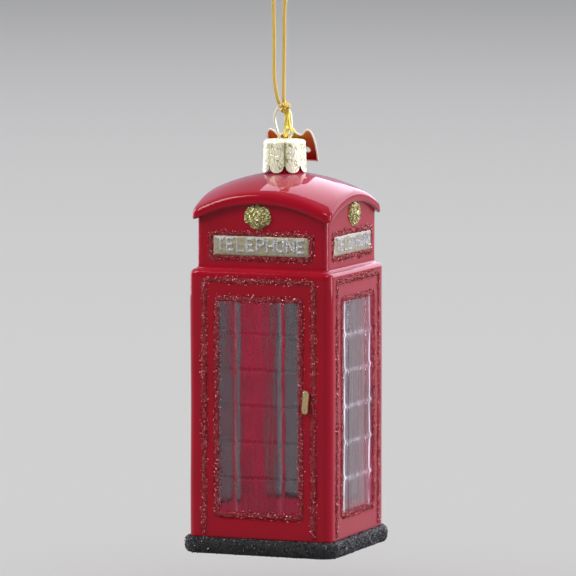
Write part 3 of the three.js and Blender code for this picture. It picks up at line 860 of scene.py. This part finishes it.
def cap():
    """Crimped foil: eight panels stamped with filigree, one deep seam, a scalloped hem."""
    columns, rows = 560, 110
    verts, relief = [], []
    for r in range(rows + 1):
        t = r / rows
        for c in range(columns):
            a = 2 * pi * c / columns
            phase = ((a - radians(SEAM)) * FLUTES / (2 * pi)) % FLUTES
            from_valley = min(phase % 1.0, 1 - phase % 1.0)
            at_seam = min(phase, FLUTES - phase) < 0.5
            panel = min(1.0, from_valley / (0.15 if at_seam else 0.10))
            lobe = min(1.0, (1 - from_valley / 0.5) * 1.14)
            hem = CAP_LOW + HEM_RISE * (1 - sqrt(1 - lobe * lobe))
            z = CAP_TOP - (CAP_TOP - hem) * t
            down = CAP_TOP - z
            if down < CAP_EDGE:
                radius = CAP_R_TOP - CAP_EDGE + sqrt(max(0.0, CAP_EDGE ** 2 - (CAP_EDGE - down) ** 2))
            else:
                radius = CAP_R_TOP + (CAP_R_LOW - CAP_R_TOP) * (down / 10) ** 1.6
            groove = (1 - panel) ** 1.2 * min(1.0, down / 1.2)
            radius -= (0.46 if at_seam else 0.16) * groove
            u, v = (phase % 1.0 - 0.5) * 2, (z - 117.5) / 8.0
            scroll = sin(11 * v + 3.2 * sin(4.1 * u + 2.3 * v))
            scroll += cos(8.5 * u + 3.4 * sin(6.5 * v + 1.3 * u))
            scroll += 1.5 * wobble(cos(a) * 6.5, sin(a) * 6.5, z * 1.0)
            line = np.exp(-((scroll / 0.34) ** 2))
            fade = min(1.0, max(0.0, down - 0.7) / 0.6) * min(1.0, max(0.0, z - hem) / 0.7) * panel
            radius -= 0.13 * fade * line
            verts.append((CAP_X + radius * cos(a), radius * sin(a), z))
            relief.append(np.clip(0.92 - 0.75 * fade * line - (0.85 if at_seam else 0.4) * groove, 0, 1))
    rim = []
    for radius, z in ((4.6, 127.08), (3.5, 127.12), (2.0, 127.12), (0.6, 127.12)):
        for c in range(columns):
            a = 2 * pi * c / columns
            rim.append((CAP_X + radius * cos(a), radius * sin(a), z))
            relief.append(0.75 + 0.2 * wobble(radius * cos(a), radius * sin(a), 2.0))
    top = np.asarray(rim[::-1]).reshape(4, columns, 3)[:, ::-1]
    everything = np.vstack([top.reshape(-1, 3), verts])
    relief = relief[len(verts):] + relief[:len(verts)]
    faces = [tuple(reversed(f)) for f in grid_faces(4 + rows + 1, columns, closed=True)]
    faces.append(tuple(range(columns)))
    piece = build("cap_foil", everything, faces, [CAP_GOLD], "hanger", ("cap",),
                  values={"relief": relief})
    walled(piece, 0.00025, -1.0)


# ---- tubes along a path
def catmull(points, step):
    """Points every step mm along a smooth curve through the given ones."""
    p = [np.asarray(q, float) for q in points]
    p = [2 * p[0] - p[1]] + p + [2 * p[-1] - p[-2]]
    out = []
    for i in range(1, len(p) - 2):
        t = [0.0]
        for k in range(3):
            t.append(t[-1] + max(1e-6, np.linalg.norm(p[i + k] - p[i + k - 1])) ** 0.5)
        pieces = max(2, int(np.linalg.norm(p[i + 1] - p[i]) / step))
        for k in range(pieces):
            s = t[1] + (t[2] - t[1]) * k / pieces

            def between(j, k, before, after):
                return (t[k] - s) / (t[k] - t[j]) * before + (s - t[j]) / (t[k] - t[j]) * after

            thirds = [between(j, j + 1, p[i + j - 1], p[i + j]) for j in range(3)]
            halves = [between(j, j + 2, thirds[j], thirds[j + 1]) for j in range(2)]
            out.append(between(1, 2, *halves))
    out.append(p[-2])
    return np.asarray(out)


def frames_along(path):
    """Two cross directions at each point, without twist."""
    tangent = np.gradient(path, axis=0)
    tangent /= np.linalg.norm(tangent, axis=1)[:, None]
    first = np.cross(tangent[0], (0.3, 0.9, 0.1))
    first /= np.linalg.norm(first)
    normals = [first]
    for t in tangent[1:]:
        n = normals[-1] - np.dot(normals[-1], t) * t
        normals.append(n / np.linalg.norm(n))
    normals = np.asarray(normals)
    return normals, np.cross(tangent, normals)


def tube(path, radius, sides):
    """Rings of points round a path, with flat ends."""
    n, b = frames_along(path)
    angles = np.linspace(0, 2 * pi, sides, endpoint=False)[None, :, None]
    ring = np.cos(angles) * n[:, None, :] + np.sin(angles) * b[:, None, :]
    verts = (path[:, None, :] + radius * ring).reshape(-1, 3)
    faces = grid_faces(len(path), sides, closed=True)
    faces.append(tuple(reversed(range(sides))))
    faces.append(tuple(range((len(path) - 1) * sides, len(path) * sides)))
    return verts, faces


PLIES, PLY_SIDES = 3, 10


def twisted(path, diameter, pitch=2.6):
    """Plies laid round one another along a path: verts, faces and how far out each point lies, which the
    thread material turns into painted shade in the crevices.
    """
    n, b = frames_along(path)
    run = np.concatenate([[0], np.cumsum(np.linalg.norm(np.diff(path, axis=0), axis=1))])
    ply = diameter * 0.275
    offset = diameter * 0.5 - ply
    laid, ply_shade = [], []
    for k in range(PLIES):
        angle = 2 * pi * (run / pitch + k / PLIES)
        centre = path + offset * (np.cos(angle)[:, None] * n + np.sin(angle)[:, None] * b)
        laid.append(tube(centre, ply, PLY_SIDES))
        rings = laid[-1][0].reshape(len(path), PLY_SIDES, 3)
        away = np.linalg.norm(rings - path[:, None, :], axis=2).ravel()
        ply_shade.append(np.clip((away / (diameter * 0.5) - 0.6) / 0.4, 0, 1))
    return *joined(laid), np.concatenate(ply_shade)


# ---- cord, knot, wire and tag
CORD_ROUTE = (
    (0.0016, -0.0005, -0.03805), (0.0015, -0.0004, -0.035), (0.00145, -0.0002, -0.03),
    (0.0015, 0.0, -0.024), (0.00155, 0.0, -0.017), (0.0016, 0.0, -0.011),
    (0.0019, 0.0, -0.0065), (0.00235, 0.0, -0.0034), (0.00245, 0.0, -0.0018),
    (0.0018, 0.0, -0.0002), (0.0, 0.0, 0.0006), (-0.0018, 0.0, -0.0002),
    (-0.00245, 0.0, -0.0018), (-0.00235, 0.0, -0.0034), (-0.0021, 0.0, -0.0065),
    (-0.00195, 0.0, -0.011), (-0.00185, 0.0, -0.017), (-0.00185, 0.0, -0.024),
    (-0.00185, 0.0, -0.0287), (-0.00155, -0.0002, -0.032), (-0.0009, -0.0004, -0.0358),
    (-5e-05, -0.0005, -0.03855),
)
CORD_DIAMETER = 1.2


def from_row(points):
    """Row-frame metres back to booth millimetres."""
    return np.asarray(points, float) * 1000 - (AXIS_X, 0.0, -HANG_HEIGHT)


TUCKED_IN = ((0.00190, -0.0004, -0.0393), (0.00080, -0.0004, -0.0396))  # the two ends inside the knot


def hanging_cord():
    path = catmull(from_row((TUCKED_IN[0], *CORD_ROUTE, TUCKED_IN[1])), 0.3)
    verts, faces, ply_shade = twisted(path, CORD_DIAMETER)
    piece = build("hanging_cord_twist", verts, faces, [CORD_GOLD], "cord", ("hanging_cord",),
                  values={"ply_shade": ply_shade})
    length = float(np.linalg.norm(np.diff(path, axis=0), axis=1).sum()) * 0.001
    return piece, path, length


WIRE_RADIUS, HOLE = 0.43, 1.65
RING_HALF, RING_CENTRE, RING_TOP, RING_LEAN = 2.68, 133.2, 137.3, 0.6


def hanger_wire():
    """A spring wire: two legs inside the neck and a teardrop ring above the cap."""
    side = [(2.4, 112.6), (2.7, 114.5), (2.7, 117), (2.3, 121.5), (HOLE, CAP_TOP), (2.15, 129),
            (2.6, 131.2)]
    for degrees in (0, 30, 60):
        a = radians(degrees)
        side.append((RING_HALF * cos(a), RING_CENTRE + (RING_TOP - RING_CENTRE) * sin(a)))

    def lean(x, z):
        above = min(1.0, max(0.0, (z - CAP_TOP) / (RING_CENTRE - CAP_TOP)))
        return (CAP_X + x - RING_LEAN * above, 0.0, z)

    points = [lean(-x, z) for x, z in side] + [lean(0, RING_TOP)] + [lean(x, z) for x, z in reversed(side)]
    path = catmull(points, 0.25)
    verts, faces = tube(path, WIRE_RADIUS, 20)
    build("hanger_wire_spring", verts, faces, [WIRE_GOLD], "hanger", ("hanger_wire",))


def cord_knot():
    """An overhand knot pulled tight over the top of the ring."""
    centre = np.array((-0.15, -0.2, 136.8))
    loops = []
    for k in range(160):
        t = 2 * pi * k / 160
        x = (sin(t) + 1.55 * sin(2 * t)) * 0.60
        z = (cos(t) - 1.55 * cos(2 * t)) * 0.46
        y = -sin(3 * t) * 0.62 - 1.15
        loops.append(centre + (x, y, z))
    verts, faces, ply_shade = twisted(np.asarray(loops + [loops[0]]), 1.25)
    wraps = []
    turns = 2.25
    for k in range(120):
        s = k / 119
        a = 2 * pi * turns * s - 0.7 * pi
        x = -1.2 + 1.9 * s
        tall = RING_TOP - RING_CENTRE
        across = min(0.95, abs(x - CAP_X + RING_LEAN) / RING_HALF)
        bar = RING_CENTRE + tall * sqrt(1 - across ** 2)
        wraps.append((x, 1.08 * cos(a), bar + 1.08 * sin(a)))
    v2, f2, s2 = twisted(np.asarray(wraps), 1.15)
    everything, all_faces = joined([(verts, faces), (v2, f2)])
    build("cord_knot_tied", everything, all_faces, [CORD_GOLD], "knot", ("cord_knot",),
          values={"ply_shade": np.concatenate([ply_shade, s2])})


TAG_X, TAG_Y, TAG_Z, TAG_LEAN, TAG_LONG, TAG_HALF = -1.35, 5.15, 129.95, 28.0, 11.7, 7.8
HOLE_DOWN, HOLE_RADIUS, STRIP, TAG_CORD_DIAMETER = 1.7, 1.2, 0.5, 0.95
PUNCH_ACROSS, PUNCH_DOWN, PUNCH_RADIUS = 4.9, 7.45, 0.8
BORDER, RIM = 0.45, 0.3


def tag_cord():
    r = STRIP + 0.25 + TAG_CORD_DIAMETER / 2
    route = [(0.05, -1.0, 135.9), (0.05, -0.95, 134.3), (0.05, -1.2, 132.4), (0.0, -1.15, 130.2),
             (-0.45, -0.4, 128.35), (-1.1, 1.2, 127.95), (-1.4, 3.2, 128.1)]
    for degrees in (-80, -35, 10, 55, 100, 140):
        a = radians(degrees)
        route.append((TAG_X, TAG_Y + r * cos(a), TAG_Z + r * sin(a)))
    route += [(-0.3, 3.3, 130.6), (1.3, 1.9, 129.8), (2.35, 0.0, 129.5), (1.75, -1.25, 130.6),
              (1.15, -1.35, 132.4), (1.05, -1.2, 134.3), (0.9, -1.1, 135.9)]
    path = catmull(route, 0.25)
    verts, faces, ply_shade = twisted(path, TAG_CORD_DIAMETER, 11.0)
    build("tag_cord_twist", verts, faces, [TAG_YELLOW], "hanger", ("tag_cord",),
          values={"ply_shade": ply_shade})


def tag_outline():
    """The card's edge in (across, down), clockwise from its lower left."""
    half, long = TAG_HALF, TAG_LONG
    lobe = [(half - 0.05, -2.4), (half - 0.4, -1.05), (half - 1.15, -0.25), (half - 2.1, -0.2),
            (half - 3.1, -1.0), (half - 4.0, -2.05), (half - 5.0, -1.75), (1.3, -0.25)]
    knots = [(-half + 0.4, -long), (-half + 0.5, -long), (half - 0.3, -long), (half - 0.2, -long),
             (half + 0.2, -long * 0.72), (half + 0.25, -long * 0.42), *lobe, (0, STRIP),
             *((-x, z) for x, z in reversed(lobe)),
             (-half - 0.1, -long * 0.45), (-half + 0.1, -long * 0.72)]
    edge = catmull([(x, 0, z) for x, z in knots + [knots[0]]], 0.45)[:-1]
    return edge[:, (0, 2)]


def inset(loop, distance):
    """The same closed outline moved inwards; the loop runs with its inside on the right."""
    tangent = np.roll(loop, -1, axis=0) - np.roll(loop, 1, axis=0)
    tangent /= np.linalg.norm(tangent, axis=1)[:, None]
    inwards = np.column_stack([tangent[:, 1], -tangent[:, 0]])
    area = 0.5 * np.sum(loop[:, 0] * np.roll(loop[:, 1], -1) - np.roll(loop[:, 0], -1) * loop[:, 1])
    return loop + distance * (inwards if area < 0 else -inwards)


def circle(x, z, radius, steps=28):
    angles = np.linspace(0, 2 * pi, steps, endpoint=False)
    return np.column_stack([x + radius * np.cos(angles), z + radius * np.sin(angles)])


def hang_tag():
    """A card printed up to a white border, with a hole for its cord and a small rimmed one."""
    edge = tag_outline()
    face_edge = inset(edge, BORDER)
    hole = circle(0, -HOLE_DOWN, HOLE_RADIUS)
    punch = circle(PUNCH_ACROSS, -PUNCH_DOWN, PUNCH_RADIUS, 20)
    punch_rim = circle(PUNCH_ACROSS, -PUNCH_DOWN, PUNCH_RADIUS + RIM, 20)
    mesh = bpy.data.meshes.new("tag_flat")
    flat = bmesh.new()
    loops = []
    for loop in (face_edge, hole, punch_rim):
        made = [flat.verts.new((x, z, 0)) for x, z in loop]
        loops += [flat.edges.new((made[i], made[(i + 1) % len(made)])) for i in range(len(made))]
    bmesh.ops.triangle_fill(flat, use_beauty=True, edges=loops)
    flat.to_mesh(mesh)
    flat.free()
    points = [np.asarray([v.co[:2] for v in mesh.vertices])]
    faces = [tuple(p.vertices) for p in mesh.polygons]
    bpy.data.meshes.remove(mesh)
    printed = len(faces)
    for outer, inner in ((edge, face_edge), (punch_rim, punch)):
        faces += grid_faces(2, len(outer), closed=True, start=sum(len(p) for p in points))
        points += [outer, inner]
    points = np.vstack(points)
    lean = radians(TAG_LEAN)
    across, along = points[:, 0], points[:, 1]
    curl = 0.10 * np.sin(across * 0.45) + 0.0012 * along * along
    y = TAG_Y - along * sin(lean) + curl * cos(lean)
    z = TAG_Z + along * cos(lean) + curl * sin(lean)
    verts = np.column_stack([TAG_X + across, y, z])
    fall = np.clip(0.058 * np.abs(across) - 0.062 * along, 0, 1)
    turned_out = []
    for f in faces:
        a, b, c = (verts[f[k]] for k in range(3))
        turned_out.append(tuple(reversed(f)) if np.cross(b - a, c - a)[1] > 0 else f)
    index = [0] * printed + [1] * (len(faces) - printed)
    piece = build("hang_tag_card", verts, turned_out, [TAG_CARD, CARD_EDGE], "tag",
                  ("hang_tag",), index=index, values={"fall": fall}, smooth=False)
    weld = piece.modifiers.new("weld", "WELD")
    weld.merge_threshold = 0.00001
    walled(piece, 0.00036, 0.0, rim=1)


# ---- making it all
cord_piece, cord_path, cord_length = hanging_cord()
cord_knot()
tag_cord()
hanger_wire()
hang_tag()
cap()
lacquered_shell()
for face_name, face_turn in FACES:
    window_glass(face_name, face_turn)
    trims(face_name, face_turn)
    sign(face_name, face_turn)
    emblem(face_name, face_turn)
door_handle()
base_band()


# ---- stage and light
FLOOR_GAP, FLOOR_RADIUS = 0.0175, 50.0


def stage():
    """A wide pale floor, a little below the hanging ornament."""
    sides = 96
    height = -HANG_HEIGHT * 0.001 - FLOOR_GAP
    verts = [(0.0, 0.0, height)]
    faces = []
    rings = (0.25, 0.6, 1.2, 2.4, 4.5, 9.0, 20.0, FLOOR_RADIUS)
    for radius in rings:
        for k in range(sides):
            a = 2 * pi * k / sides
            verts.append((radius * cos(a), radius * sin(a), height))
    faces += [(0, 1 + k, 1 + (k + 1) % sides) for k in range(sides)]
    faces += grid_faces(len(rings), sides, closed=True, start=1)
    mesh = bpy.data.meshes.new("floor")
    mesh.from_pydata(verts, [], faces)
    material, shader = new_material("pale_stage")
    feed(shader, Base_Color=(0.94, 0.93, 0.92, 1.0), Roughness=0.9, Specular_IOR_Level=0.1)
    mesh.materials.append(material)
    piece = new_object("floor", mesh)
    STAGE.objects.link(piece)


def softbox(name, azimuth, elevation, distance, size, power, receivers, colour=(1, 1, 1)):
    """An area light that looks at the booth from a direction given like the camera's."""
    middle = Vector(place([(0, 0, 70)])[0])
    back = towards(azimuth, elevation)
    data = bpy.data.lights.new(name, "AREA")
    data.shape = "RECTANGLE"
    data.size, data.size_y = size
    data.energy = power
    data.color = colour
    lamp = new_object(name, data)
    lamp.location = middle + back * distance
    lamp.rotation_euler = back.to_track_quat("Z", "Y").to_euler()
    lamp.visible_camera = False
    lamp.light_linking.receiver_collection = receivers


def light():
    world = bpy.data.worlds.new("studio")
    world.use_nodes = True
    feed(world.node_tree.nodes["Background"], Color=(0.93, 0.95, 1.0, 1.0), Strength=0.32)
    SCENE.world = world
    cool = (0.90, 0.86, 1.0)
    softbox("back_high", 168, 42, 1.3, (1.5, 0.9), 18.5, ORNAMENT, cool)
    softbox("back_low", 165, 14, 1.3, (1.3, 0.4), 5.4, ORNAMENT, cool)
    softbox("right_soft", 88, 12, 1.0, (0.4, 0.6), 1.6, ORNAMENT, cool)
    softbox("right_strip", 110, 8, 1.0, (0.22, 0.6), 6.5, ORNAMENT, cool)
    softbox("left_strip", -112, 10, 1.0, (0.30, 0.6), 3.5, ORNAMENT, cool)
    softbox("front_key", -58, 42, 1.3, (0.6, 0.6), 17.0, ORNAMENT)
    softbox("front_fill", 60, 55, 1.3, (0.5, 0.5), 6.0, ORNAMENT)
    softbox("floor_light", 0, 90, 2.5, (6.0, 6.0), 70.0, STAGE)


stage()
light()
SCENE.view_settings.view_transform = "Standard"
SCENE.view_settings.look = "None"
